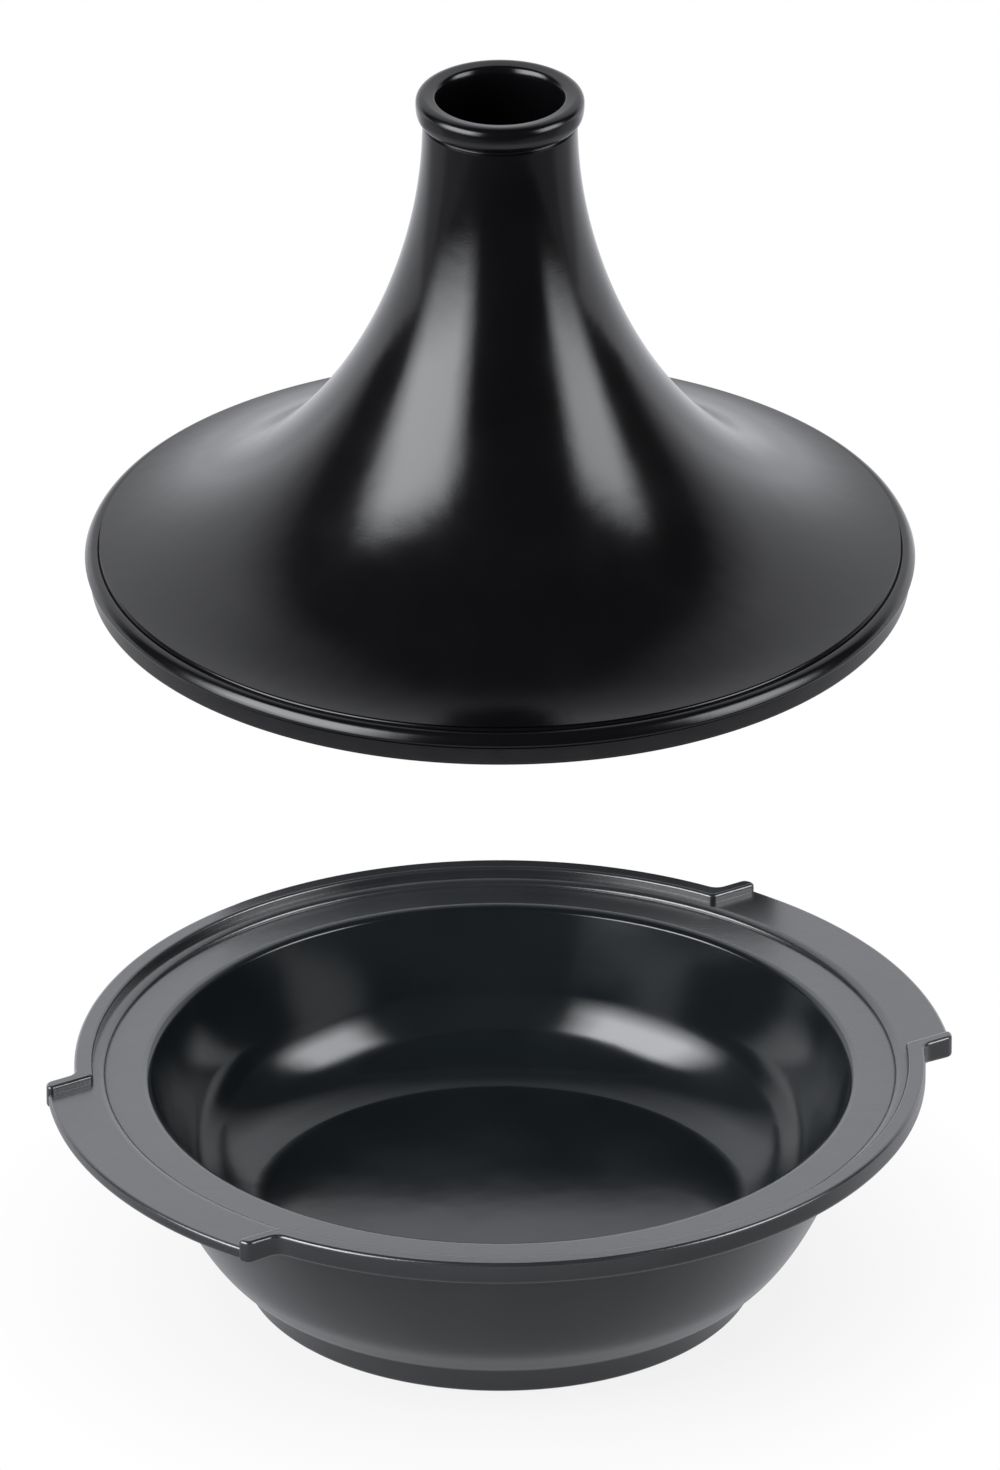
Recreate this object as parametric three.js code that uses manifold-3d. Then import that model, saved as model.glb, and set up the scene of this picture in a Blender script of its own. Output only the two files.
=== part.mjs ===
// Ceramic tagine: a dish with two handle tabs, and its conical lid lifted straight up off its seat.
// Millimetres, +Z up, origin on the table under the middle of the dish, handles along X.
import * as THREE from 'three';
import { mergeVertices } from 'three/addons/utils/BufferGeometryUtils.js';
import Module from 'manifold-3d';

const wasm = await Module();
wasm.setup();

// Smoothness of the facets
const TURN_STEPS = 48;
const SWEEP_STEPS = 10;
const FILLET_STEPS = 3;
const ROUND_STEPS = 6;
const ARC_STEP_DEGREES = 6.5;

// Dish: bowl and foot
const dishHeight = 85;
const wall = 7.5;
const wallLeanDegrees = 19;
const wallRun = 26;
const floorThickness = 11;
const floorInset = 4.5;
const floorRiseDegrees = 11;
const bowlEdgeRound = 1.8;
const footRadius = 91.5;
const footHeight = 10.5;
const footFlare = 2;
const footGroove = 1.2;
const footRingWidth = 9;
const footRecess = 13.5;
const recessRun = 6;
const footRound = 1.5;
const heelRun = 14;
const heelRiseDegrees = 15;

// Dish: rim, seat for the lid, lip and handles
const rimRadius = 152;
const rimWallHeight = 8.6;
const rimRound = 1.3;
const lipWidth = 6.6;
const lipRise = 3.2;
const stepWidth = 4.6;
const stepRise = 2;
const stepRound = 0.7;
const ledgeWidth = 14.5;
const underRimRun = 9;
const handleReach = 10.5;
const handleWidth = 140;
const handleCornerRound = 3;
const handleRootRound = 5;
const ribWidth = 5;
const lipEndRound = 3;
const ribTipRound = 1.6;

// Lid: skirt, bell and neck
const lidHeight = 191;
const lidWall = 7.5;
const skirtSlopeDegrees = 8.5;
const skirtRun = 61.5;
const neckRadius = 27.2;
const neckRun = 78;
const neckGroove = 0.8;
const mouthBeadHeight = 9.4;
const mouthBeadUpper = 3.4;
const mouthBeadBulge = 2.4;
const mouthEdgeRound = 1.6;
const neckWall = 5.4;
const wellDepth = 58;
const wellRound = 9;
const domeCap = 6.5;

// Lid: collar that sits in the dish, band inside the lip, and the bead around the edge
const collarWidth = 8.5;
const collarRound = 1;
const bandRound = 1.2;
const bandGroove = 0.8;
const beadOverhang = 1.8;
const beadLower = 2.2;
const beadUpper = 2.4;
const beadShoulder = 0.4;
const edgeGroove = 1.3;
const edgeGrooveHeight = 1.6;

// Fits between lid and dish
const seatGap = 0.3;
const seatPlay = 0.8;
const bandPlay = 0.8;
const beadOverLip = 4.4;
const lidLift = 197;

// Levels and radii that follow from the sizes above
const stepLevel = dishHeight - lipRise;
const ledgeLevel = stepLevel - stepRise;
const rimBottom = dishHeight - rimWallHeight;
const floorLevel = footRecess + floorThickness;
const floorRadius = footRadius - floorInset;
const lipInnerRadius = rimRadius - lipWidth;
const seatRadius = lipInnerRadius - stepWidth;
const bowlRadius = seatRadius - ledgeWidth;
const handleRadius = rimRadius + handleReach;
const handleSide = handleWidth / 2;
const ribSide = handleSide - ribWidth;

const collarRadius = seatRadius - seatPlay;
const collarInnerRadius = collarRadius - collarWidth;
const collarHeight = stepRise;
const bandRadius = lipInnerRadius - bandPlay;
const bandTop = collarHeight + lipRise - seatGap + beadOverLip;
const beadRadius = bandRadius + beadOverhang;
const beadMiddle = bandTop + beadLower;
const beadTop = beadMiddle + beadUpper;
const mouthBeadBottom = lidHeight - mouthBeadHeight;
const wellRadius = neckRadius - neckWall;
const wellFloor = lidHeight - wellDepth;
const domeTop = wellFloor - lidWall;

const glaze = {
  slate: new THREE.MeshStandardMaterial({ color: 0x4b4c50, roughness: 0.42, metalness: 0 }),
  black: new THREE.MeshStandardMaterial({ color: 0x121214, roughness: 0.3, metalness: 0 }),
};

// A point of a turned profile: radius and height
const at = (radius, height) => new THREE.Vector2(radius, height);

// A point a given distance from another, in a direction given in degrees above the radius
function away(from, distance, degrees) {
  const angle = THREE.MathUtils.degToRad(degrees);
  return at(from.x + distance * Math.cos(angle), from.y + distance * Math.sin(angle));
}

const bend = (from, corner, to, steps = FILLET_STEPS) =>
  new THREE.QuadraticBezierCurve(from, corner, to).getPoints(steps);

// A corner rounded by cutting back the same distance along both of its sides
function rounded(before, corner, after, size, steps = FILLET_STEPS) {
  const start = corner.clone().add(before.clone().sub(corner).setLength(size));
  const end = corner.clone().add(after.clone().sub(corner).setLength(size));
  return bend(start, corner, end, steps);
}

// Where two lines meet, each through a point in a direction given in degrees above the radius
function crossing(first, firstDegrees, second, secondDegrees) {
  const along = away(at(0, 0), 1, firstDegrees);
  const other = away(at(0, 0), 1, secondDegrees);
  const distance = second.clone().sub(first).cross(other) / along.cross(other);
  return first.clone().addScaledVector(along, distance);
}

// The solid swept by a profile that starts and ends on the Z axis, running from below to above
function turned(profile) {
  const points = profile.filter((point, i) => i === 0 || point.distanceTo(profile[i - 1]) > 1e-4);
  const geometry = new THREE.LatheGeometry(points, TURN_STEPS);
  return solid(geometry.rotateX(Math.PI / 2));
}

// A plan shape raised from one level to another, with rounded edges inside its outline
function raised(shape, low, high, round) {
  const geometry = new THREE.ExtrudeGeometry(shape, {
    depth: high - low - 2 * round,
    steps: 1,
    bevelEnabled: true,
    bevelThickness: round,
    bevelSize: round,
    bevelOffset: -round,
    bevelSegments: FILLET_STEPS,
    curveSegments: 1,
  });
  return solid(geometry.translate(0, 0, low + round));
}

function solid(geometry) {
  geometry.deleteAttribute('normal');
  geometry.deleteAttribute('uv');
  const merged = mergeVertices(geometry, 1e-4);
  const mesh = new wasm.Mesh({
    numProp: 3,
    vertProperties: new Float32Array(merged.attributes.position.array),
    triVerts: new Uint32Array(merged.index.array),
  });
  mesh.merge();
  return new wasm.Manifold(mesh);
}

function named(name, body, material) {
  const mesh = body.getMesh();
  const geometry = new THREE.BufferGeometry();
  geometry.setAttribute('position', new THREE.BufferAttribute(mesh.vertProperties, 3));
  geometry.setIndex(new THREE.BufferAttribute(mesh.triVerts, 1));
  geometry.computeVertexNormals();
  const part = new THREE.Mesh(geometry, material);
  part.name = name;
  return part;
}

// Points along an arc about the Z axis, between two points that lie on it
function arc(from, to, clockwise = false) {
  const start = from.angle();
  const turn = clockwise ? start - to.angle() : to.angle() - start;
  const swept = THREE.MathUtils.euclideanModulo(turn, 2 * Math.PI);
  const steps = Math.max(1, Math.ceil(THREE.MathUtils.radToDeg(swept) / ARC_STEP_DEGREES));
  const radius = from.length();
  return new THREE.EllipseCurve(0, 0, radius, radius, start, to.angle(), clockwise).getPoints(steps);
}

// Points along a small arc about its own centre, between two points that lie on it
function fillet(centre, from, to, clockwise) {
  const start = from.clone().sub(centre);
  const end = to.clone().sub(centre);
  const radius = start.length();
  const curve = new THREE.EllipseCurve(
    centre.x, centre.y, radius, radius, start.angle(), end.angle(), clockwise);
  return curve.getPoints(FILLET_STEPS);
}

// Where a circle of the given radius about the Z axis crosses a line parallel to X
const onLine = (radius, y) => new THREE.Vector2(Math.sqrt(radius * radius - y * y), y);

const mirroredX = (points) => points.map((p) => new THREE.Vector2(-p.x, p.y)).reverse();
const turnedHalf = (points) => points.map((p) => p.clone().negate());

// Plan of one handle end on the +X +Y side, from the handle's outer arc round to the rim
function handleEnd() {
  const cornerCentre = onLine(handleRadius - handleCornerRound, handleSide - handleCornerRound);
  const cornerOnArc = cornerCentre.clone().setLength(handleRadius);
  const cornerOnSide = new THREE.Vector2(cornerCentre.x, handleSide);
  const rootCentre = onLine(rimRadius + handleRootRound, handleSide + handleRootRound);
  const rootOnSide = new THREE.Vector2(rootCentre.x, handleSide);
  const rootOnRim = rootCentre.clone().setLength(rimRadius);
  return [
    ...fillet(cornerCentre, cornerOnArc, cornerOnSide, false),
    ...fillet(rootCentre, rootOnSide, rootOnRim, true),
  ];
}

// Plan of the rim: a disc with a tab at each end of X, open inside the seat for the lid
function rimPlan() {
  const end = handleEnd();
  const farEnd = mirroredX(end);
  const halfRim = [...end, ...arc(end.at(-1), farEnd[0]), ...farEnd];
  const handleArc = arc(farEnd.at(-1), end[0].clone().negate());
  const half = [...halfRim, ...handleArc.slice(1, -1)];
  const shape = new THREE.Shape([...half, ...turnedHalf(half)]);
  const opening = arc(at(seatRadius, 0), at(-seatRadius, 0));
  shape.holes = [new THREE.Path([...opening.slice(0, -1), ...turnedHalf(opening).slice(0, -1)])];
  return shape;
}

// Plan of the lip on the +Y side: it follows the rim and turns out along both handle ends as a rib
function lipPlan() {
  const end = handleEnd();
  const farEnd = mirroredX(end);
  const tipCentre = onLine(handleRadius - ribTipRound, ribSide + ribTipRound);
  const tipOnSide = new THREE.Vector2(tipCentre.x, ribSide);
  const tipOnArc = tipCentre.clone().setLength(handleRadius);
  const innerCentre = onLine(lipInnerRadius + lipEndRound, ribSide + lipEndRound);
  const innerOnLip = innerCentre.clone().setLength(lipInnerRadius);
  const innerOnSide = new THREE.Vector2(innerCentre.x, ribSide);
  const inner = [
    ...fillet(innerCentre, innerOnLip, innerOnSide, false),
    ...fillet(tipCentre, tipOnSide, tipOnArc, false),
  ];
  const farInner = mirroredX(inner);
  return new THREE.Shape([
    ...end,
    ...arc(end.at(-1), farEnd[0]),
    ...farEnd,
    ...farInner,
    ...arc(farInner.at(-1), inner[0], true),
    ...inner,
  ]);
}

// Bowl, foot and the flange under the seat, turned about Z
function bowl() {
  const footTop = at(footRadius + footFlare, footHeight - footGroove);
  const heel = at(footTop.x + footGroove, footHeight);
  const innerTop = at(bowlRadius - bowlEdgeRound, ledgeLevel - bowlEdgeRound);
  const outerTopLevel = rimBottom - underRimRun;
  const lean = THREE.MathUtils.degToRad(wallLeanDegrees);
  const innerAtOuterTop = innerTop.x - (innerTop.y - outerTopLevel) * Math.tan(lean);
  const outerTop = at(innerAtOuterTop + wall / Math.cos(lean), outerTopLevel);
  const outer = new THREE.CubicBezierCurve(
    heel,
    away(heel, heelRun, heelRiseDegrees),
    away(outerTop, wallRun, -90 - wallLeanDegrees),
    outerTop,
  );
  const floorEdge = at(floorRadius, floorLevel);
  const bowlCorner = crossing(innerTop, -90 - wallLeanDegrees, floorEdge, floorRiseDegrees);
  const bowlRound = bowlCorner.distanceTo(floorEdge);
  const flangeEnd = at(seatRadius + stepWidth, rimBottom + rimRound);
  const underRim = new THREE.QuadraticBezierCurve(
    outerTop,
    away(outerTop, underRimRun, 90 - wallLeanDegrees),
    flangeEnd,
  );
  const ringInner = footRadius - footRingWidth;
  const recessTop = at(ringInner - recessRun, footRecess);
  return turned([
    at(0, footRecess),
    ...rounded(at(0, footRecess), recessTop, at(ringInner, 0), footRound),
    ...rounded(recessTop, at(ringInner, 0), at(footRadius, 0), footRound),
    ...rounded(at(ringInner, 0), at(footRadius, 0), footTop, footRound),
    footTop,
    ...outer.getPoints(SWEEP_STEPS),
    ...underRim.getPoints(ROUND_STEPS - 1),
    at(flangeEnd.x, ledgeLevel),
    ...bend(at(bowlRadius + bowlEdgeRound, ledgeLevel), at(bowlRadius, ledgeLevel), innerTop),
    ...rounded(innerTop, bowlCorner, floorEdge, bowlRound, ROUND_STEPS),
    at(0, floorLevel),
  ]);
}

function dish() {
  const rim = raised(rimPlan(), rimBottom, stepLevel, stepRound);
  const lip = raised(lipPlan(), rimBottom, dishHeight, rimRound);
  const body = bowl().add(rim).add(lip).add(lip.rotate([0, 0, 180]));
  return named('dish', body, glaze.slate);
}

// The inside of the bell: the outer sweep moved in by the wall, between the dome's top and the collar
function insideOf(outer) {
  const times = Array.from({ length: SWEEP_STEPS + 1 }, (_, i) => i / SWEEP_STEPS);
  const shell = times.map((t) => {
    const along = outer.getTangent(t);
    return outer.getPoint(t).add(at(along.y, -along.x).setLength(-lidWall));
  });
  return shell.filter((p) => p.y < domeTop - domeCap && p.x < collarInnerRadius - lidWall / 2);
}

function lid() {
  const skirtEdge = at(collarRadius + edgeGroove, beadTop + edgeGrooveHeight);
  const neckTop = at(neckRadius, mouthBeadBottom - 2 * neckGroove);
  const outer = new THREE.CubicBezierCurve(
    skirtEdge,
    away(skirtEdge, skirtRun, 180 - skirtSlopeDegrees),
    away(neckTop, neckRun, -90),
    neckTop,
  );
  const inside = insideOf(outer).reverse();
  const shoulder = inside.at(-1);
  const mouthCrest = at(wellRadius + mouthEdgeRound, lidHeight);
  const mouthWaist = at(neckRadius + mouthBeadBulge, lidHeight - mouthBeadUpper);
  const wellTop = at(wellRadius, lidHeight - mouthEdgeRound);
  const edgeGrooveBottom = at(collarRadius, beadTop + edgeGrooveHeight / 2);
  const beadStart = at(collarRadius + edgeGroove, beadTop);
  const beadCrest = at(beadRadius, beadMiddle);
  const innerFoot = at(collarInnerRadius, 0);
  const outerFoot = at(collarRadius, 0);
  const innerRise = at(collarInnerRadius, collarHeight);
  const bandFoot = at(bandRadius, collarHeight);
  const bandEdge = at(bandRadius, bandTop - bandGroove);
  const beadFoot = at(bandRadius, bandTop);
  const body = turned([
    ...bend(at(0, domeTop), at(inside[0].x, domeTop), inside[0]),
    ...inside,
    ...bend(shoulder, at(collarInnerRadius, shoulder.y), innerRise),
    ...rounded(innerRise, innerFoot, outerFoot, collarRound),
    ...rounded(innerFoot, outerFoot, at(collarRadius, collarHeight), collarRound),
    at(collarRadius, collarHeight),
    ...rounded(at(collarRadius, collarHeight), bandFoot, bandEdge, bandRound),
    bandEdge,
    at(bandRadius - bandGroove, bandTop - bandGroove / 2),
    ...bend(beadFoot, at(beadRadius, bandTop), beadCrest),
    ...bend(beadCrest, at(beadRadius, beadTop - beadShoulder), beadStart, ROUND_STEPS - 2),
    edgeGrooveBottom,
    ...outer.getPoints(SWEEP_STEPS + FILLET_STEPS),
    at(neckRadius - neckGroove, mouthBeadBottom - neckGroove),
    at(neckRadius, mouthBeadBottom),
    ...bend(at(neckRadius, mouthBeadBottom), at(mouthWaist.x, mouthBeadBottom), mouthWaist),
    ...bend(mouthWaist, at(mouthWaist.x, lidHeight), mouthCrest, ROUND_STEPS - 2),
    ...bend(mouthCrest, at(wellRadius, lidHeight), wellTop),
    ...rounded(wellTop, at(wellRadius, wellFloor), at(0, wellFloor), wellRound),
    at(0, wellFloor),
  ]);
  const part = named('lid', body, glaze.black);
  part.position.z = ledgeLevel + seatGap + lidLift;
  return part;
}

const tagine = new THREE.Group();
tagine.add(dish(), lid());

export default tagine;
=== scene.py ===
"""Ceramic tagine: the finished surfaces of its dish and its lifted lid, in a plain white studio."""
import math

import bmesh
import bpy
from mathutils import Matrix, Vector


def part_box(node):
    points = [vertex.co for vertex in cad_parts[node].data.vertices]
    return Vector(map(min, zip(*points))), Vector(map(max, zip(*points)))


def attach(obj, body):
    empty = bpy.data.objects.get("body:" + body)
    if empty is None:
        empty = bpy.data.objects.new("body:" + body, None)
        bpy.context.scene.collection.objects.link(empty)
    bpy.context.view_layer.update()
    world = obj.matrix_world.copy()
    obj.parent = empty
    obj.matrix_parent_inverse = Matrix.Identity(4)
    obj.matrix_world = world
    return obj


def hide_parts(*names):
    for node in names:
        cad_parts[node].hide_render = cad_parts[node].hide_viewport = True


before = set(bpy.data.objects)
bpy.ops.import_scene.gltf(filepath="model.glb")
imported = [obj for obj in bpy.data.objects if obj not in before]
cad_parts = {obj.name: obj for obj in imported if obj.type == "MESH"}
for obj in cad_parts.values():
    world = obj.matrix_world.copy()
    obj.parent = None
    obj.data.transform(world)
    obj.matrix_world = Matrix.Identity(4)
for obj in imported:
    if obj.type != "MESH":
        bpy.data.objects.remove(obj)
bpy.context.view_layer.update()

_, dish_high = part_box("dish")
lid_low, lid_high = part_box("lid")

# Lengths are in metres and angles in degrees
MM = 0.001

# Smoothness of the surfaces
TURN_STEPS = 256
SWEEP_STEPS = 48
ROUND_STEPS = 6
SHARP_DEGREES = 36
SAME_POINT = 1e-6

# Dish: bowl and foot
DISH_HEIGHT = dish_high.z
WALL = 7.5 * MM
WALL_LEAN = 19
WALL_RUN = 26 * MM
FLOOR_LEVEL = 24.5 * MM
FLOOR_RADIUS = 87 * MM
FLOOR_RISE = 11
FLOOR_EDGE_ROUND = 2.5 * MM
BOWL_LEAN = 17
BOWL_EDGE_ROUND = 1.8 * MM
FOOT_RADIUS = 91.5 * MM
FOOT_HEIGHT = 10.5 * MM
FOOT_FLARE = 2 * MM
FOOT_GROOVE = 1.2 * MM
FOOT_RING_WIDTH = 9 * MM
FOOT_RECESS = 13.5 * MM
RECESS_RUN = 6 * MM
FOOT_ROUND = 1.5 * MM
HEEL_RUN = 14 * MM
HEEL_RISE = 15

# Dish: rim, seat for the lid, lip and handles
RIM_RADIUS = dish_high.y
RIM_WALL_HEIGHT = 8.6 * MM
RIM_ROUND = 1.3 * MM
RIM_FOOT_ROUND = 2.4 * MM
LIP_WIDTH = 6.6 * MM
LIP_RISE = 3.2 * MM
LIP_FLARE = 0.2 * MM
STEP_WIDTH = 4.6 * MM
STEP_RISE = 2 * MM
STEP_ROUND_WIDTH = 3.4 * MM
STEP_ROUND_HEIGHT = 1.7 * MM
STEP_FLARE = 0.25 * MM
FLARE_SUNK = 0.05 * MM
LEDGE_WIDTH = 14.5 * MM
UNDER_RIM_RUN = 9 * MM
HANDLE_RADIUS = dish_high.x
HANDLE_SIDE = 70 * MM
HANDLE_CORNER_ROUND = 3 * MM
HANDLE_ROOT_ROUND = 5 * MM
RIB_WIDTH = 5 * MM
RIB_PROUD = 0.4 * MM
LIP_END_ROUND = 3 * MM
RIB_TIP_ROUND = 1.6 * MM

# The flare ends where the lip's side turns outwards: the cosine to the radius there, and the run of the fade
FLARE_END = 0.1
FLARE_FADE = 0.3

# Lid
LID_BASE = lid_low.z
LID_HEIGHT = lid_high.z - lid_low.z
LID_WALL = 7.5 * MM
SKIRT_SLOPE = 8.5
SKIRT_RUN = 61.5 * MM
NECK_RADIUS = 27.2 * MM
NECK_RUN = 78 * MM
NECK_GROOVE = 0.8 * MM
MOUTH_BEAD_HEIGHT = 9.4 * MM
MOUTH_BEAD_UPPER = 3.4 * MM
MOUTH_BEAD_BULGE = 2.4 * MM
MOUTH_CREST_INSET = 3.4 * MM
MOUTH_SLOPE = 10
MOUTH_SLOPE_RUN = 2.6 * MM
MOUTH_FLARE_DEPTH = 7 * MM
NECK_WALL = 5.4 * MM
WELL_DEPTH = 58 * MM
WELL_ROUND = 9 * MM
DOME_CAP = 6.5 * MM
COLLAR_RADIUS = 140 * MM
COLLAR_WIDTH = 8.5 * MM
COLLAR_HEIGHT = 2 * MM
COLLAR_ROUND = 1 * MM
BAND_RADIUS = 144.6 * MM
BAND_TOP = 9.3 * MM
BAND_ROUND = 1.2 * MM
BAND_GROOVE = 0.8 * MM
BEAD_RADIUS = lid_high.x
BEAD_LOWER = 1.3 * MM
BEAD_UPPER = 3.3 * MM
BEAD_FACE_RUN = 2.9 * MM
BEAD_FACE_LEAN = 18
BEAD_TOP_RUN = 2.8 * MM
BEAD_TOP_SLOPE = 21
EDGE_GROOVE = 1.3 * MM
EDGE_GROOVE_HEIGHT = 1.6 * MM

# Levels and radii that follow
STEP_LEVEL = DISH_HEIGHT - LIP_RISE
LEDGE_LEVEL = STEP_LEVEL - STEP_RISE
RIM_BOTTOM = DISH_HEIGHT - RIM_WALL_HEIGHT
LIP_INNER_RADIUS = RIM_RADIUS - LIP_WIDTH
SEAT_RADIUS = LIP_INNER_RADIUS - STEP_WIDTH
BOWL_RADIUS = SEAT_RADIUS - LEDGE_WIDTH
RIB_SIDE = HANDLE_SIDE - RIB_WIDTH
COLLAR_INNER_RADIUS = COLLAR_RADIUS - COLLAR_WIDTH
BEAD_MIDDLE = BAND_TOP + BEAD_LOWER
BEAD_TOP = BEAD_MIDDLE + BEAD_UPPER
MOUTH_BEAD_BOTTOM = LID_HEIGHT - MOUTH_BEAD_HEIGHT
WELL_RADIUS = NECK_RADIUS - NECK_WALL
WELL_FLOOR = LID_HEIGHT - WELL_DEPTH
DOME_TOP = WELL_FLOOR - LID_WALL

# Glazes: darkest and lightest colour, roughness, index of refraction, depth of ripple and grain, clear coat
SLATE_GLAZE = {
    "dark": (0.018, 0.0192, 0.0212),
    "light": (0.0275, 0.029, 0.032),
    "roughness": (0.21, 0.26),
    "ior": 1.55,
    "ripple": 0.04 * MM,
    "grain": 0.04 * MM,
    "coat": 1,
}
BOWL_GLAZE = {
    "dark": (0.008, 0.0105, 0.012),
    "light": (0.012, 0.0155, 0.018),
    "roughness": (0.115, 0.155),
    "ior": 1.62,
    "ripple": 0.025 * MM,
    "grain": 0.006 * MM,
    "coat": 0,
}
BLACK_GLAZE = {
    "dark": (0.002, 0.002, 0.0024),
    "light": (0.0036, 0.0036, 0.0042),
    "roughness": (0.14, 0.19),
    "ior": 1.5,
    "ripple": 0.05 * MM,
    "grain": 0.012 * MM,
    "coat": 0,
}
COAT_IOR = 1.65
CLOUD_SIZE = 30 * MM
RIPPLE_SIZE = 9 * MM
GRAIN_SIZE = 0.9 * MM
GRAIN_TONE = 0.35

# The range that noise mostly fills, and the sockets of a mix of two colours
NOISE_LOW = 0.3
NOISE_HIGH = 0.7
MIX_FACTOR = 0
MIX_FIRST = 6
MIX_SECOND = 7
MIX_RESULT = 2

# Bare clay
CLAY_DARK = (0.23, 0.2, 0.17)
CLAY_LIGHT = (0.33, 0.3, 0.26)
CLAY_ROUGHNESS = (0.75, 0.95)
CLAY_PATCH_SIZE = 14 * MM
CLAY_GRIT_SIZE = 0.7 * MM
CLAY_GRIT_DEPTH = 0.12 * MM

# Faces count as flat from this cosine to the vertical on; flat ones this close to the bottom are bare clay
FLAT_FACING = 0.9
CLAY_LEVEL = 0.2 * MM

# Camera: where it stands round the object, and the height of its frame at the object
CAMERA_AZIMUTH = -31.5
CAMERA_ELEVATION = 27.7
CAMERA_LENS = 600
CAMERA_SENSOR = 36
CAMERA_FAR = 100
FRAME_HEIGHT = 0.5204
AIM_HEIGHT = 0.2153

# Two large softboxes: turn to the camera's right, height of the middle, width, height and brightness
SOFTBOXES = {
    "softbox_left": {"turn": -57, "height": 1.02, "width": 1.68, "tall": 1.6, "radiance": 8.4},
    "softbox_right": {"turn": 70, "height": 0.92, "width": 1.04, "tall": 1.25, "radiance": 6.1},
}
SOFTBOX_REACH = 1.3
SOFTBOX_FADE = 0.45
SOFTBOX_COLOUR = (0.955, 0.97, 1)

# White table: it ends in front of the object, and the room beyond it is unlit
TABLE_FRONT = 0.75
TABLE_SIZE = 40
PAPER_COLOUR = (0.6, 0.6, 0.6)
SHADOW_REACH = 0.2
SHADOW_WHITE = 0.84

# Painted table light, seen only in reflections: behind and before the axis, far behind, under the heel, in a
# ring
PAINTED_NEAR_LIGHT_BACK = 0.46
PAINTED_NEAR_LIGHT_FRONT = 0.24
PAINTED_NEAR_LIGHT_RUN = 0.12
PAINTED_FAR_LIGHT_START = 0.25
PAINTED_FAR_LIGHT_FULL = 0.75
PAINTED_HEEL_LIGHT = {"inner": 0.3, "level": 0.5, "rise": (0.097, 0.104), "fall": (0.104, 0.116)}
PAINTED_RING_LIGHT = {"inner": 0, "level": 0.75, "rise": (0.3, 0.42), "fall": (0.64, 0.74)}

# Lit sweep behind the object: brightest low down, and dark overhead and on the camera's side
SWEEP_LIGHT = 0.92
SWEEP_LOW_GAIN = 1.35
SWEEP_LOW_TOP = 0.3
SWEEP_FADE_UP = (0.68, 0.95)
SWEEP_FADE_ASIDE = (0.42, 0.74)
SWEEP_COLOUR = (0.97, 0.98, 1.03)
ROOM_LIGHT = 0.052

# Black card behind the dish, seen only in reflections: a painted dark reflection in the back of its seat
CARD_REACH = 0.18
CARD_WIDTH = 0.2
CARD_HEIGHT = 0.122
CARD_COLOUR = (0.02, 0.02, 0.02)


def point(radius, height):
    return Vector((radius, height))


def away(start, distance, degrees):
    """The point a distance from another, in a direction given in degrees above the radius."""
    angle = math.radians(degrees)
    return start + distance * point(math.cos(angle), math.sin(angle))


def fractions(steps):
    return [i / steps for i in range(steps + 1)]


def bend(start, corner, end, steps=ROUND_STEPS):
    """Points along a curve that leaves start and reaches end in the directions of a corner."""
    return [start * (1 - t) ** 2 + corner * 2 * t * (1 - t) + end * t ** 2 for t in fractions(steps)]


def sweep(start, first, second, end, steps=SWEEP_STEPS):
    """Points along a long curve steered by two handles."""
    return [
        start * (1 - t) ** 3 + first * 3 * t * (1 - t) ** 2 + second * 3 * t ** 2 * (1 - t) + end * t ** 3
        for t in fractions(steps)
    ]


def rounded(before, corner, after, size, steps=ROUND_STEPS):
    """A corner rounded by cutting back the same distance along both of its sides."""
    start = corner + (before - corner).normalized() * size
    end = corner + (after - corner).normalized() * size
    return bend(start, corner, end, steps)


def crossing(first, first_degrees, second, second_degrees):
    """Where two lines meet, each through a point in a direction in degrees above the radius."""
    along = away(point(0, 0), 1, first_degrees)
    other = away(point(0, 0), 1, second_degrees)
    distance = (second - first).cross(other) / along.cross(other)
    return first + along * distance


def distinct(points, closed=False):
    """The points without those that repeat their neighbour."""
    kept = [p for i, p in enumerate(points) if i == 0 or (p - points[i - 1]).length > SAME_POINT]
    if closed and (kept[0] - kept[-1]).length < SAME_POINT:
        kept.pop()
    return kept


def skin(rings, closed):
    """Faces between rings of equal length, numbered ring by ring."""
    count = len(rings[0])
    pairs = len(rings) if closed else len(rings) - 1
    faces = []
    for i in range(pairs):
        low = i * count
        high = (i + 1) % len(rings) * count
        faces += [(low + j, low + (j + 1) % count, high + (j + 1) % count, high + j) for j in range(count)]
    return faces


def solid(name, vertices, faces):
    """An object out of vertices and faces, with its faces turned outwards."""
    mesh = bpy.data.meshes.new(name)
    mesh.from_pydata(vertices, [], faces)
    shape = bmesh.new()
    shape.from_mesh(mesh)
    bmesh.ops.recalc_face_normals(shape, faces=shape.faces)
    shape.to_mesh(mesh)
    shape.free()
    piece = bpy.data.objects.new(name, mesh)
    bpy.context.collection.objects.link(piece)
    return piece


def turned(name, profile, base=0):
    """The solid swept by a profile that starts and ends on the Z axis."""
    profile = distinct(profile)
    angles = [2 * math.pi * i / TURN_STEPS for i in range(TURN_STEPS)]
    rings = [
        [(p.x * math.cos(a), p.x * math.sin(a), base + p.y) for a in angles]
        for p in profile[1:-1]
    ]
    vertices = [v for ring in rings for v in ring]
    faces = skin(rings, closed=False)
    first = len(vertices)
    last_ring = first - TURN_STEPS
    for i in range(TURN_STEPS):
        after = (i + 1) % TURN_STEPS
        faces.append((first, after, i))
        faces.append((first + 1, last_ring + i, last_ring + after))
    vertices += [(0, 0, base + profile[0].y), (0, 0, base + profile[-1].y)]
    return solid(name, vertices, faces)


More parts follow.
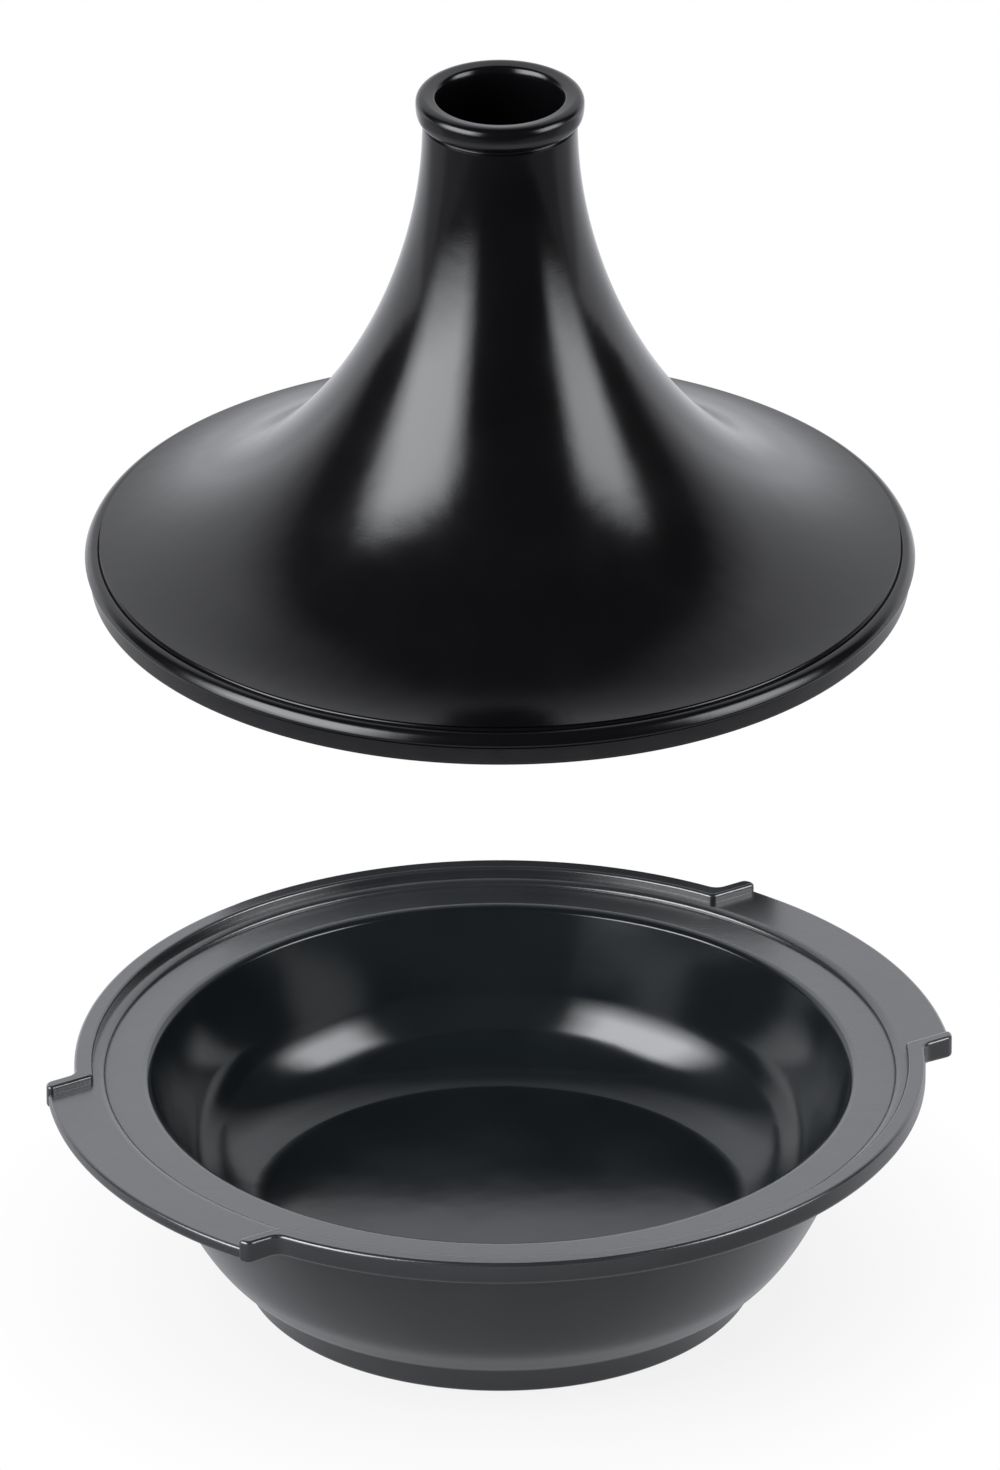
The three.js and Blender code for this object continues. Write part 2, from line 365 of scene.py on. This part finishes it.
def arc(start, end, clockwise=False):
    """Points along an arc about the Z axis between two points at the same distance from it."""
    first = math.atan2(start.y, start.x)
    turn = math.atan2(end.y, end.x) - first
    swept = -(-turn % (2 * math.pi)) if clockwise else turn % (2 * math.pi)
    steps = max(2, math.ceil(abs(swept) / (2 * math.pi) * TURN_STEPS))
    angles = [first + swept * t for t in fractions(steps)]
    return [start.length * point(math.cos(a), math.sin(a)) for a in angles]


def fillet(centre, start, end, clockwise=False):
    """Points along a small arc about its own centre."""
    first = math.atan2(start.y - centre.y, start.x - centre.x)
    turn = math.atan2(end.y - centre.y, end.x - centre.x) - first
    swept = -(-turn % (2 * math.pi)) if clockwise else turn % (2 * math.pi)
    radius = (start - centre).length
    angles = [first + swept * t for t in fractions(2 * ROUND_STEPS)]
    return [centre + radius * point(math.cos(a), math.sin(a)) for a in angles]


def on_line(radius, y):
    """Where a circle about the Z axis crosses a line parallel to X."""
    return point(math.sqrt(radius ** 2 - y ** 2), y)


def stretched(p, length):
    """The point in the same direction from the Z axis, at another distance."""
    return p.normalized() * length


def mirrored(points):
    """A plan's points on the other side of Y, in the order that keeps its sense of turning."""
    return [point(-p.x, p.y) for p in reversed(points)]


def handle_end():
    """Plan of one handle end on the +X +Y side, from the handle's outer arc round to the rim."""
    corner = on_line(HANDLE_RADIUS - HANDLE_CORNER_ROUND, HANDLE_SIDE - HANDLE_CORNER_ROUND)
    root = on_line(RIM_RADIUS + HANDLE_ROOT_ROUND, HANDLE_SIDE + HANDLE_ROOT_ROUND)
    return (
        fillet(corner, stretched(corner, HANDLE_RADIUS), point(corner.x, HANDLE_SIDE))
        + fillet(root, point(root.x, HANDLE_SIDE), stretched(root, RIM_RADIUS), clockwise=True)
    )


def lip_plan():
    """Plan of the lip on the +Y side: it follows the rim and turns out along both handles as a rib."""
    end = handle_end()
    far_end = mirrored(end)
    tip = on_line(HANDLE_RADIUS - RIB_TIP_ROUND, RIB_SIDE + RIB_TIP_ROUND)
    inner = on_line(LIP_INNER_RADIUS + LIP_END_ROUND, RIB_SIDE + LIP_END_ROUND)
    inside = (
        fillet(inner, stretched(inner, LIP_INNER_RADIUS), point(inner.x, RIB_SIDE))
        + fillet(tip, point(tip.x, RIB_SIDE), stretched(tip, HANDLE_RADIUS))
    )
    far_inside = mirrored(inside)
    outline = end + arc(end[-1], far_end[0]) + far_end + far_inside
    return distinct(outline + arc(far_inside[-1], inside[0], clockwise=True) + inside, closed=True)


def rim_plan():
    """Plan of the rim plate under the lips, with a tab at each end of X for the handle tops."""
    side = HANDLE_SIDE - RIB_WIDTH / 2
    tab = on_line(HANDLE_RADIUS - RIB_PROUD, side)
    root = on_line(RIM_RADIUS - LIP_WIDTH / 2, side)
    half = [tab] + arc(root, point(-root.x, root.y)) + arc(point(-tab.x, tab.y), point(-tab.x, -tab.y))
    return distinct(half + [-p for p in half], closed=True)


def outward(outline):
    """The direction out of a counter-clockwise outline at each of its points."""
    directions = []
    for i, p in enumerate(outline):
        before = (p - outline[i - 1]).normalized()
        after = (outline[(i + 1) % len(outline)] - p).normalized()
        along = (before + after).normalized()
        directions.append(point(along.y, -along.x))
    return directions


def quarter(width, height):
    """The two legs of a quarter round, from its side to its top."""
    angles = [math.pi / 2 * t for t in fractions(ROUND_STEPS)]
    return [(width * (1 - math.cos(a)), height * math.sin(a)) for a in angles]


def hollow(radius):
    """The two legs of a concave quarter, from the flat that it leaves up to the wall."""
    return [(radius - rise, inset) for inset, rise in quarter(radius, radius)]


def lip(side):
    """The raised lip with its two ribs, rounded above and below and flared into the rim inside."""
    outline = lip_plan()
    directions = outward(outline)
    facing = [d.dot(p.normalized()) for p, d in zip(outline, directions)]
    inside = [min(1, max(0, (FLARE_END - cosine) / FLARE_FADE)) for cosine in facing]
    past_rim = [max(0, p.length - RIM_RADIUS) / HANDLE_ROOT_ROUND for p in outline]
    on_rim = [max(0, 1 - past) * (1 - within) for past, within in zip(past_rim, inside)]
    foot = [RIM_ROUND + share * (RIM_FOOT_ROUND - RIM_ROUND) for share in on_rim]
    rings = []
    for inset, rise in reversed(quarter(1, 1)):
        moved = [p - d * inset * r for p, d, r in zip(outline, directions, foot)]
        rings.append([(side * p.x, side * p.y, RIM_BOTTOM + r * (1 - rise)) for p, r in zip(moved, foot)])
    start = STEP_LEVEL - FLARE_SUNK
    levels = [(0, LIP_FLARE, start - LIP_FLARE)]
    levels += [(0, spread, start + rise) for spread, rise in hollow(LIP_FLARE)]
    levels += [(inset, 0, DISH_HEIGHT - RIM_ROUND + rise) for inset, rise in quarter(RIM_ROUND, RIM_ROUND)]
    for inset, spread, height in levels:
        moved = [p + d * (spread * w - inset) for p, d, w in zip(outline, directions, inside)]
        rings.append([(side * p.x, side * p.y, height) for p in moved])
    count = len(outline)
    vertices = [v for ring in rings for v in ring]
    faces = skin(rings, closed=False)
    faces.append(tuple(range(count)))
    faces.append(tuple(range(len(vertices) - count, len(vertices))))
    return solid("lip", vertices, faces)


def rim_plate():
    """The flat step round the seat, which widens into the two handle tops."""
    outline = rim_plan()
    directions = outward(outline)
    bearings = [p.normalized() for p in outline]

    def inner_ring(radius, height):
        return [(b.x * radius, b.y * radius, height) for b in bearings]

    def outer_ring(inset, height):
        return [(p.x - d.x * inset, p.y - d.y * inset, height) for p, d in zip(outline, directions)]

    start = LEDGE_LEVEL - FLARE_SUNK
    rings = [inner_ring(SEAT_RADIUS - STEP_WIDTH / 2, RIM_BOTTOM)]
    rings += [inner_ring(SEAT_RADIUS - spread, start + rise) for spread, rise in hollow(STEP_FLARE)]
    rings += [
        inner_ring(SEAT_RADIUS + inset, STEP_LEVEL - STEP_ROUND_HEIGHT + rise)
        for inset, rise in quarter(STEP_ROUND_WIDTH, STEP_ROUND_HEIGHT)
    ]
    rings += [
        outer_ring(inset, STEP_LEVEL - RIM_ROUND + rise)
        for inset, rise in reversed(quarter(RIM_ROUND, RIM_ROUND))
    ]
    rings += [
        outer_ring(inset, RIM_BOTTOM + RIM_FOOT_ROUND - rise)
        for inset, rise in quarter(RIM_FOOT_ROUND, RIM_FOOT_ROUND)
    ]
    return solid("rim_plate", [v for ring in rings for v in ring], skin(rings, closed=True))


def bowl():
    """Bowl, foot and the flange under the seat."""
    foot_top = point(FOOT_RADIUS + FOOT_FLARE, FOOT_HEIGHT - FOOT_GROOVE)
    heel = point(foot_top.x + FOOT_GROOVE, FOOT_HEIGHT)
    inner_top = point(BOWL_RADIUS - BOWL_EDGE_ROUND, LEDGE_LEVEL - BOWL_EDGE_ROUND)
    outer_level = RIM_BOTTOM - UNDER_RIM_RUN
    lean = math.radians(WALL_LEAN)
    inner_beside = inner_top.x - (inner_top.y - outer_level) * math.tan(lean)
    outer_top = point(inner_beside + WALL / math.cos(lean), outer_level)
    floor_edge = point(FLOOR_RADIUS, FLOOR_LEVEL)
    flange = point(RIM_RADIUS - LIP_WIDTH / 2, RIM_BOTTOM + RIM_ROUND)
    ring_inner = FOOT_RADIUS - FOOT_RING_WIDTH
    recess = point(ring_inner - RECESS_RUN, FOOT_RECESS)
    down = -90 - WALL_LEAN
    ledge_edge = point(BOWL_RADIUS, LEDGE_LEVEL)
    corner = crossing(inner_top, -90 - BOWL_LEAN, floor_edge, FLOOR_RISE)
    curve = rounded(inner_top, corner, floor_edge, (corner - floor_edge).length, SWEEP_STEPS)
    wall = [p for p in curve if p.x > FLOOR_RADIUS + FLOOR_EDGE_ROUND]
    return turned("dish", (
        [point(0, FOOT_RECESS)]
        + rounded(point(0, FOOT_RECESS), recess, point(ring_inner, 0), FOOT_ROUND)
        + rounded(recess, point(ring_inner, 0), point(FOOT_RADIUS, 0), FOOT_ROUND)
        + rounded(point(ring_inner, 0), point(FOOT_RADIUS, 0), foot_top, FOOT_ROUND)
        + [foot_top]
        + sweep(heel, away(heel, HEEL_RUN, HEEL_RISE), away(outer_top, WALL_RUN, down), outer_top)
        + bend(outer_top, away(outer_top, UNDER_RIM_RUN, 90 - WALL_LEAN), flange, SWEEP_STEPS)
        + [point(flange.x, LEDGE_LEVEL)]
        + bend(ledge_edge + point(BOWL_EDGE_ROUND, 0), ledge_edge, inner_top)
        + wall
        + rounded(wall[-1], floor_edge, point(0, FLOOR_LEVEL), FLOOR_EDGE_ROUND)
        + [point(0, FLOOR_LEVEL)]
    ))


def joined(piece, others):
    """One closed body out of several that overlap."""
    for other in others:
        union = piece.modifiers.new("union", "BOOLEAN")
        union.operation = "UNION"
        union.solver = "MANIFOLD"
        union.object = other
    bpy.context.view_layer.update()
    result = piece.evaluated_get(bpy.context.evaluated_depsgraph_get())
    mesh = bpy.data.meshes.new_from_object(result)
    piece.modifiers.clear()
    piece.data = mesh
    mesh.name = piece.name
    for other in others:
        bpy.data.objects.remove(other)
    return piece


def smoothed(piece):
    """Soft shading over the curves, with crisp creases."""
    mesh = piece.data
    mesh.polygons.foreach_set("use_smooth", [True] * len(mesh.polygons))
    mesh.set_sharp_from_angle(angle=math.radians(SHARP_DEGREES))
    normals = piece.modifiers.new("even shading", "WEIGHTED_NORMAL")
    normals.mode = "FACE_AREA_WITH_ANGLE"
    normals.keep_sharp = True
    return piece


def inside_of(curve):
    """The outer sweep of the bell moved in by the wall, between the dome and the collar."""
    shell = []
    for i in range(1, len(curve) - 1):
        along = (curve[i + 1] - curve[i - 1]).normalized()
        shell.append(curve[i] - point(along.y, -along.x) * LID_WALL)
    edge = COLLAR_INNER_RADIUS - LID_WALL / 2
    return [p for p in shell if p.y < DOME_TOP - DOME_CAP and p.x < edge]


def lid():
    """The bell-shaped lid: inside, collar, band, edge bead, skirt, neck, mouth and well in one profile."""
    skirt_edge = point(COLLAR_RADIUS + EDGE_GROOVE, BEAD_TOP + EDGE_GROOVE_HEIGHT)
    neck_top = point(NECK_RADIUS, MOUTH_BEAD_BOTTOM - 2 * NECK_GROOVE)
    outer = sweep(
        skirt_edge,
        away(skirt_edge, SKIRT_RUN, 180 - SKIRT_SLOPE),
        away(neck_top, NECK_RUN, -90),
        neck_top,
        2 * SWEEP_STEPS,
    )
    inside = list(reversed(inside_of(outer)))
    shoulder = inside[-1]
    neck_groove = point(NECK_RADIUS - NECK_GROOVE, MOUTH_BEAD_BOTTOM - NECK_GROOVE)
    mouth_foot = point(NECK_RADIUS, MOUTH_BEAD_BOTTOM)
    waist = point(NECK_RADIUS + MOUTH_BEAD_BULGE, LID_HEIGHT - MOUTH_BEAD_UPPER)
    crest = point(waist.x - MOUTH_CREST_INSET, LID_HEIGHT)
    mouth_edge = away(crest, MOUTH_SLOPE_RUN, 180 + MOUTH_SLOPE)
    edge_groove = point(COLLAR_RADIUS, BEAD_TOP + EDGE_GROOVE_HEIGHT / 2)
    bead_start = point(COLLAR_RADIUS + EDGE_GROOVE, BEAD_TOP)
    bead_crest = point(BEAD_RADIUS, BEAD_MIDDLE)
    inner_foot = point(COLLAR_INNER_RADIUS, 0)
    outer_foot = point(COLLAR_RADIUS, 0)
    inner_top = point(COLLAR_INNER_RADIUS, COLLAR_HEIGHT)
    outer_top = point(COLLAR_RADIUS, COLLAR_HEIGHT)
    band_foot = point(BAND_RADIUS, COLLAR_HEIGHT)
    band_edge = point(BAND_RADIUS, BAND_TOP - BAND_GROOVE)
    bead_foot = point(BAND_RADIUS, BAND_TOP)
    band_groove = point(BAND_RADIUS - BAND_GROOVE, BAND_TOP - BAND_GROOVE / 2)
    well_edge = point(WELL_RADIUS, LID_HEIGHT - MOUTH_FLARE_DEPTH)
    mouth_corner = crossing(mouth_edge, 180 + MOUTH_SLOPE, well_edge, 90)
    well_corner = point(WELL_RADIUS, WELL_FLOOR)
    well_middle = point(0, WELL_FLOOR)
    return turned("lid", (
        bend(point(0, DOME_TOP), point(inside[0].x, DOME_TOP), inside[0], SWEEP_STEPS)
        + inside
        + bend(shoulder, point(COLLAR_INNER_RADIUS, shoulder.y), inner_top, SWEEP_STEPS)
        + rounded(inner_top, inner_foot, outer_foot, COLLAR_ROUND)
        + rounded(inner_foot, outer_foot, outer_top, COLLAR_ROUND)
        + rounded(outer_foot, outer_top, band_foot, COLLAR_ROUND / 2)
        + rounded(outer_top, band_foot, band_edge, BAND_ROUND)
        + bend(band_edge, band_groove, bead_foot)
        + bend(bead_foot, point(BEAD_RADIUS, BAND_TOP), bead_crest, 2 * ROUND_STEPS)
        + sweep(
            bead_crest,
            away(bead_crest, BEAD_FACE_RUN, 90 + BEAD_FACE_LEAN),
            away(bead_start, BEAD_TOP_RUN, BEAD_TOP_SLOPE),
            bead_start,
            4 * ROUND_STEPS,
        )
        + bend(bead_start, edge_groove, skirt_edge)
        + outer
        + rounded(neck_top, neck_groove, mouth_foot, NECK_GROOVE / 2)
        + bend(mouth_foot, point(waist.x, MOUTH_BEAD_BOTTOM), waist)
        + bend(waist, point(waist.x, LID_HEIGHT), crest, 2 * ROUND_STEPS)
        + bend(mouth_edge, mouth_corner, well_edge, 3 * ROUND_STEPS)
        + rounded(well_edge, well_corner, well_middle, WELL_ROUND, 2 * ROUND_STEPS)
        + [well_middle]
    ), LID_BASE)


class Nodes:
    """The node tree of one material, world or light, built call by call."""

    def __init__(self, tree):
        self.tree = tree
        tree.nodes.clear()

    def add(self, kind, inputs=None, **settings):
        node = self.tree.nodes.new(kind)
        for name, value in settings.items():
            setattr(node, name, value)
        for name, value in (inputs or {}).items():
            socket = node.inputs[name]
            if isinstance(value, bpy.types.NodeSocket):
                self.tree.links.new(value, socket)
            else:
                socket.default_value = value
        return node

    def maths(self, operation, *values):
        node = self.add("ShaderNodeMath", dict(enumerate(values)), operation=operation)
        return node.outputs[0]

    def noise(self, place, size, detail=2):
        """Soft grain whose lumps are about this size."""
        settings = {"Vector": place, "Scale": 1 / size, "Detail": detail}
        return self.add("ShaderNodeTexNoise", settings).outputs["Fac"]

    def between(self, value, low, high, start=NOISE_LOW, end=NOISE_HIGH):
        """From low at start to high at end; left out, these two span what noise mostly fills."""
        settings = {"Value": value, "From Min": start, "From Max": end, "To Min": low, "To Max": high}
        return self.add("ShaderNodeMapRange", settings).outputs["Result"]

    def tint(self, factor, dark, light):
        """A colour from dark at 0 to light at 1."""
        inputs = {MIX_FACTOR: factor, MIX_FIRST: (*dark, 1), MIX_SECOND: (*light, 1)}
        return self.add("ShaderNodeMix", inputs, data_type="RGBA").outputs[MIX_RESULT]

    def bump(self, height, depth, below=None):
        settings = {"Height": height, "Distance": depth, "Strength": 1}
        if below is not None:
            settings["Normal"] = below
        return self.add("ShaderNodeBump", settings).outputs["Normal"]


def new_material(name):
    """A material and its empty node tree."""
    material = bpy.data.materials.new(name)
    material.use_nodes = True
    return material, Nodes(material.node_tree)


def glaze(name, dark, light, roughness, ior, ripple, grain, coat):
    """Satin glaze: a slow change of tone, a long ripple and a fine grain over it, and any clear coat."""
    material, nodes = new_material(name)
    place = nodes.add("ShaderNodeTexCoord").outputs["Object"]
    cloud = nodes.noise(place, CLOUD_SIZE, detail=3)
    fine = nodes.noise(place, GRAIN_SIZE)
    slow = nodes.noise(place, RIPPLE_SIZE, detail=1)
    tone = nodes.maths("MULTIPLY_ADD", fine, GRAIN_TONE, nodes.maths("MULTIPLY", cloud, 1 - GRAIN_TONE))
    normal = nodes.bump(fine, grain, nodes.bump(slow, ripple))
    shader = nodes.add("ShaderNodeBsdfPrincipled", {
        "Base Color": nodes.tint(nodes.between(tone, 0, 1), dark, light),
        "Roughness": nodes.between(cloud, *roughness),
        "IOR": ior,
        "Normal": normal,
        "Coat Weight": coat,
        "Coat IOR": COAT_IOR,
        "Coat Roughness": sum(roughness) / 2,
        "Coat Normal": normal,
    })
    nodes.add("ShaderNodeOutputMaterial", {"Surface": shader.outputs["BSDF"]})
    return material


def bare_clay(name):
    """Fired clay where the kiln shelf kept the glaze off."""
    material, nodes = new_material(name)
    place = nodes.add("ShaderNodeTexCoord").outputs["Object"]
    grit = nodes.noise(place, CLAY_GRIT_SIZE, detail=4)
    patch = nodes.noise(place, CLAY_PATCH_SIZE)
    shader = nodes.add("ShaderNodeBsdfPrincipled", {
        "Base Color": nodes.tint(nodes.between(patch, 0, 1), CLAY_DARK, CLAY_LIGHT),
        "Roughness": nodes.between(grit, *CLAY_ROUGHNESS),
        "Normal": nodes.bump(grit, CLAY_GRIT_DEPTH),
    })
    nodes.add("ShaderNodeOutputMaterial", {"Surface": shader.outputs["BSDF"]})
    return material


def finish_dish(piece):
    """Slate glaze outside, a darker and glossier one in the bowl, bare clay under the foot."""
    outside, inside, bare = range(3)
    piece.data.materials.clear()
    piece.data.materials.append(glaze("slate_glaze", **SLATE_GLAZE))
    piece.data.materials.append(glaze("bowl_glaze", **BOWL_GLAZE))
    piece.data.materials.append(bare_clay("bare_foot"))
    for face in piece.data.polygons:
        radius = face.center.xy.length
        level = face.center.z
        facing = face.normal.xy.dot(face.center.xy)
        in_bowl = radius < BOWL_RADIUS and FLOOR_LEVEL - WALL / 2 < level < LEDGE_LEVEL
        if in_bowl and (facing < 0 or face.normal.z > FLAT_FACING):
            face.material_index = inside
        elif level < CLAY_LEVEL and face.normal.z < -FLAT_FACING:
            face.material_index = bare
        else:
            face.material_index = outside


def finish_lid(piece):
    """Satin black glaze all over, bare clay on the foot of the collar."""
    piece.data.materials.append(glaze("black_glaze", **BLACK_GLAZE))
    piece.data.materials.append(bare_clay("bare_collar"))
    for face in piece.data.polygons:
        face.material_index = int(face.center.z < LID_BASE + CLAY_LEVEL and face.normal.z < -FLAT_FACING)


def direction(turn, elevation=0):
    """A direction from the object, given in degrees to the camera's right and above the horizon."""
    angle = math.radians(CAMERA_AZIMUTH + turn)
    rise = math.radians(elevation)
    return Vector((math.sin(angle) * math.cos(rise), -math.cos(angle) * math.cos(rise), math.sin(rise)))


def camera():
    """A long lens on the whole object, with the lid lifted."""
    data = bpy.data.cameras.new("camera")
    data.lens = CAMERA_LENS
    data.sensor_width = CAMERA_SENSOR
    data.clip_end = CAMERA_FAR
    view = bpy.data.objects.new("camera", data)
    back = direction(0, CAMERA_ELEVATION)
    view.location = Vector((0, 0, AIM_HEIGHT)) + back * (FRAME_HEIGHT * CAMERA_LENS / CAMERA_SENSOR)
    view.rotation_mode = "QUATERNION"
    view.rotation_quaternion = (-back).to_track_quat("-Z", "Y")
    bpy.context.collection.objects.link(view)
    bpy.context.scene.camera = view


def softbox(name, turn, height, width, tall, radiance):
    """A softbox that is brightest in the middle and fades towards its edges."""
    data = bpy.data.lights.new(name, "AREA")
    data.shape = "RECTANGLE"
    data.size = width
    data.size_y = tall
    data.energy = math.pi * width * tall * radiance
    data.color = SOFTBOX_COLOUR
    data.use_nodes = True
    nodes = Nodes(data.node_tree)
    spot = nodes.add("ShaderNodeNewGeometry").outputs["Parametric"]
    across, upward, _ = nodes.add("ShaderNodeSeparateXYZ", {0: spot}).outputs
    fades = []
    for along in (across, upward):
        off_centre = nodes.maths("ABSOLUTE", nodes.maths("MULTIPLY_ADD", along, 2, -1))
        fades.append(nodes.between(off_centre, 1, 0, SOFTBOX_FADE, 1))
    glow = nodes.add("ShaderNodeEmission", {"Strength": nodes.maths("MULTIPLY", *fades)})
    nodes.add("ShaderNodeOutputLight", {"Surface": glow.outputs[0]})
    lamp = bpy.data.objects.new(name, data)
    lamp.location = direction(turn) * SOFTBOX_REACH + Vector((0, 0, height))
    lamp.rotation_mode = "QUATERNION"
    lamp.rotation_quaternion = (-direction(turn)).to_track_quat("-Z", "Y")
    lamp.visible_camera = False
    bpy.context.collection.objects.link(lamp)


def seen_plainly(nodes, path):
    """1 for rays that look straight or through glass at the background."""
    return nodes.maths("MAXIMUM", path["Is Camera Ray"], path["Is Transmission Ray"])


def studio_world():
    """A white sweep behind the object, and an unlit room on the camera's side of it."""
    world = bpy.data.worlds.new("studio")
    world.use_nodes = True
    bpy.context.scene.world = world
    nodes = Nodes(world.node_tree)
    seen = nodes.add("ShaderNodeTexCoord").outputs["Generated"]
    flat = nodes.add("ShaderNodeVectorMath", {0: seen, 1: (1, 1, 0)}, operation="MULTIPLY").outputs[0]
    bearing = nodes.add("ShaderNodeVectorMath", {0: flat}, operation="NORMALIZE").outputs[0]
    behind = nodes.add("ShaderNodeVectorMath", {0: bearing, 1: direction(180)}, operation="DOT_PRODUCT")
    height = nodes.add("ShaderNodeSeparateXYZ", {0: seen}).outputs["Z"]
    across = nodes.between(behind.outputs["Value"], 0, SWEEP_LIGHT, *SWEEP_FADE_ASIDE)
    upward = nodes.between(height, 1, 0, *SWEEP_FADE_UP)
    low_gain = nodes.between(height, SWEEP_LOW_GAIN, 1, 0, SWEEP_LOW_TOP)
    lit = nodes.maths("MULTIPLY", across, nodes.maths("MULTIPLY", upward, low_gain))
    plain = seen_plainly(nodes, nodes.add("ShaderNodeLightPath").outputs)
    strength = nodes.maths("MAXIMUM", plain, nodes.maths("MAXIMUM", lit, ROOM_LIGHT))
    colour = nodes.tint(plain, SWEEP_COLOUR, (1, 1, 1))
    light = nodes.add("ShaderNodeBackground", {"Color": colour, "Strength": strength})
    nodes.add("ShaderNodeOutputWorld", {"Surface": light.outputs["Background"]})


def painted_table_light(nodes, spot, distance):
    """Painted light and shade on the table, seen only in reflections: its brightness at a spot on it, this
    far from the axis.
    """
    forward = nodes.add("ShaderNodeVectorMath", {0: spot, 1: direction(0)}, operation="DOT_PRODUCT")
    ahead = forward.outputs["Value"]
    near = nodes.between(ahead, PAINTED_NEAR_LIGHT_BACK, PAINTED_NEAR_LIGHT_FRONT, 0, PAINTED_NEAR_LIGHT_RUN)
    far = nodes.between(ahead, 1, 0, -PAINTED_FAR_LIGHT_FULL, -PAINTED_FAR_LIGHT_START)
    glow = nodes.maths("MAXIMUM", near, far)
    for ring in (PAINTED_HEEL_LIGHT, PAINTED_RING_LIGHT):
        brightening = nodes.between(distance, ring["inner"], ring["level"], *ring["rise"])
        fading = nodes.between(distance, ring["level"], 0, *ring["fall"])
        glow = nodes.maths("MAXIMUM", glow, nodes.maths("MINIMUM", brightening, fading))
    return glow


def floor():
    """A wide pale table that shows as white paper with a soft shadow, and as a painted glow in reflections.
    """
    front = direction(0) * TABLE_FRONT
    back = direction(180) * TABLE_SIZE
    aside = direction(90) * TABLE_SIZE
    sheet = solid("floor", [front - aside, front + aside, back + aside, back - aside], [(0, 1, 2, 3)])
    material, nodes = new_material("white_paper")
    path = nodes.add("ShaderNodeLightPath").outputs
    spot = nodes.add("ShaderNodeNewGeometry").outputs["Position"]
    distance = nodes.add("ShaderNodeVectorMath", {0: spot}, operation="LENGTH").outputs["Value"]
    clear = nodes.between(distance, SHADOW_WHITE, 1, SHADOW_REACH / 2, SHADOW_REACH)
    share = nodes.maths("MULTIPLY", seen_plainly(nodes, path), clear)
    paper = nodes.add("ShaderNodeBsdfDiffuse", {"Color": (*PAPER_COLOUR, 1)})
    white = nodes.add("ShaderNodeEmission", {"Color": (1, 1, 1, 1), "Strength": 1.0})
    shown = nodes.add("ShaderNodeMixShader", {0: share, 1: paper.outputs[0], 2: white.outputs[0]})
    # Reflections see the table as an emission whose painted brightness stands in for its light and shade.
    level = painted_table_light(nodes, spot, distance)
    glow = nodes.add("ShaderNodeEmission", {"Color": (*SWEEP_COLOUR, 1), "Strength": level})
    glossy = path["Is Glossy Ray"]
    mix = nodes.add("ShaderNodeMixShader", {0: glossy, 1: shown.outputs[0], 2: glow.outputs[0]})
    nodes.add("ShaderNodeOutputMaterial", {"Surface": mix.outputs[0]})
    sheet.data.materials.append(material)


def painted_reflection_card():
    """A low black card behind the dish, seen only in reflections: it paints a dark reflection into the back
    of its seat, where the sweep would show.
    """
    middle = direction(180) * CARD_REACH
    aside = direction(90) * CARD_WIDTH / 2
    up = Vector((0, 0, CARD_HEIGHT))
    corners = [middle - aside, middle + aside, middle + aside + up, middle - aside + up]
    card = solid("painted_reflection_card", corners, [(0, 1, 2, 3)])
    material, nodes = new_material("black_card")
    felt = nodes.add("ShaderNodeBsdfDiffuse", {"Color": (*CARD_COLOUR, 1)})
    nodes.add("ShaderNodeOutputMaterial", {"Surface": felt.outputs[0]})
    card.data.materials.append(material)
    # Hidden from the camera, from diffuse light and from shadows, the card is only a painted dark
    # reflection.
    card.visible_camera = False
    card.visible_diffuse = False
    card.visible_shadow = False


dish = joined(bowl(), [rim_plate(), lip(1), lip(-1)])
finish_dish(dish)
smoothed(dish)
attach(dish, "dish")
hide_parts("dish")

cover = lid()
finish_lid(cover)
smoothed(cover)
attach(cover, "lid")
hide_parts("lid")

camera()
floor()
painted_reflection_card()
studio_world()
for name, box in SOFTBOXES.items():
    softbox(name, **box)
bpy.context.scene.view_settings.view_transform = "Standard"
